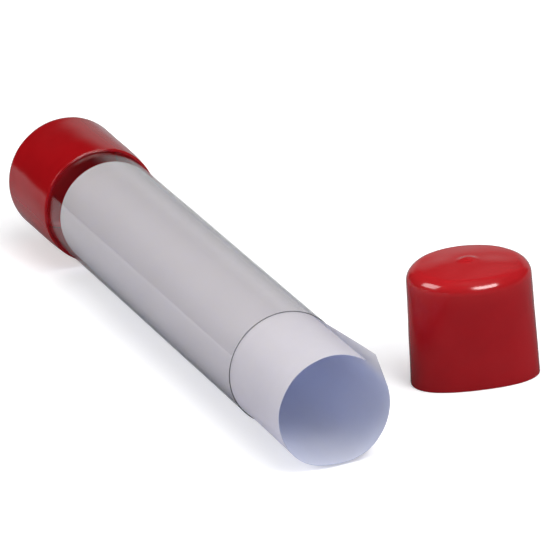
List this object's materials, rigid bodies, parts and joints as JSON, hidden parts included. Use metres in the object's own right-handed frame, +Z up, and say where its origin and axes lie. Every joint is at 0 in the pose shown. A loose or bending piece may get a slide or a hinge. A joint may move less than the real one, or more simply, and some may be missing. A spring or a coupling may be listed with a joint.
{
  "type": "drawing tube",
  "caption": "Clear plastic drawing tube lying down, with a soft red cap on its rear end, a rolled sheet standing out of its open front end, and a matching loose cap beside it.",
  "frame": {"origin": "on the table, under the middle of the whole object's box", "axes": "+X along the tube towards its open front end, +Y towards the loose cap, +Z up from the table; the tube's line slopes 0.455 degrees down to the front because it lies on the fatter rear cap"},
  "size_m": [0.4427, 0.197, 0.0757],
  "materials": {
    "clear_plastic": "gloss",
    "red_vinyl": "gloss",
    "paper": "matte"
  },
  "bodies": {
    "tube": {"clear_tube": "clear_plastic"},
    "rear_cap": {"rear_cap": "red_vinyl"},
    "front_cap": {"front_cap": "red_vinyl"},
    "sheet": {"drawing_sheet": "paper"}
  },
  "joints": [
    {"name": "rear_cap_pull", "type": "slide", "parent": "tube", "child": "rear_cap", "axis": [-1, 0, 0.0079], "range_m": [0, 0.08]},
    {"name": "sheet_slide", "type": "slide", "parent": "tube", "child": "sheet", "axis": [1, 0, -0.0079], "range_m": [0, 0.29]},
    {"name": "front_cap_lift", "type": "slide", "parent": "tube", "child": "front_cap", "axis": [0, 0, 1], "range_m": [0, 0.12]}
  ]
}
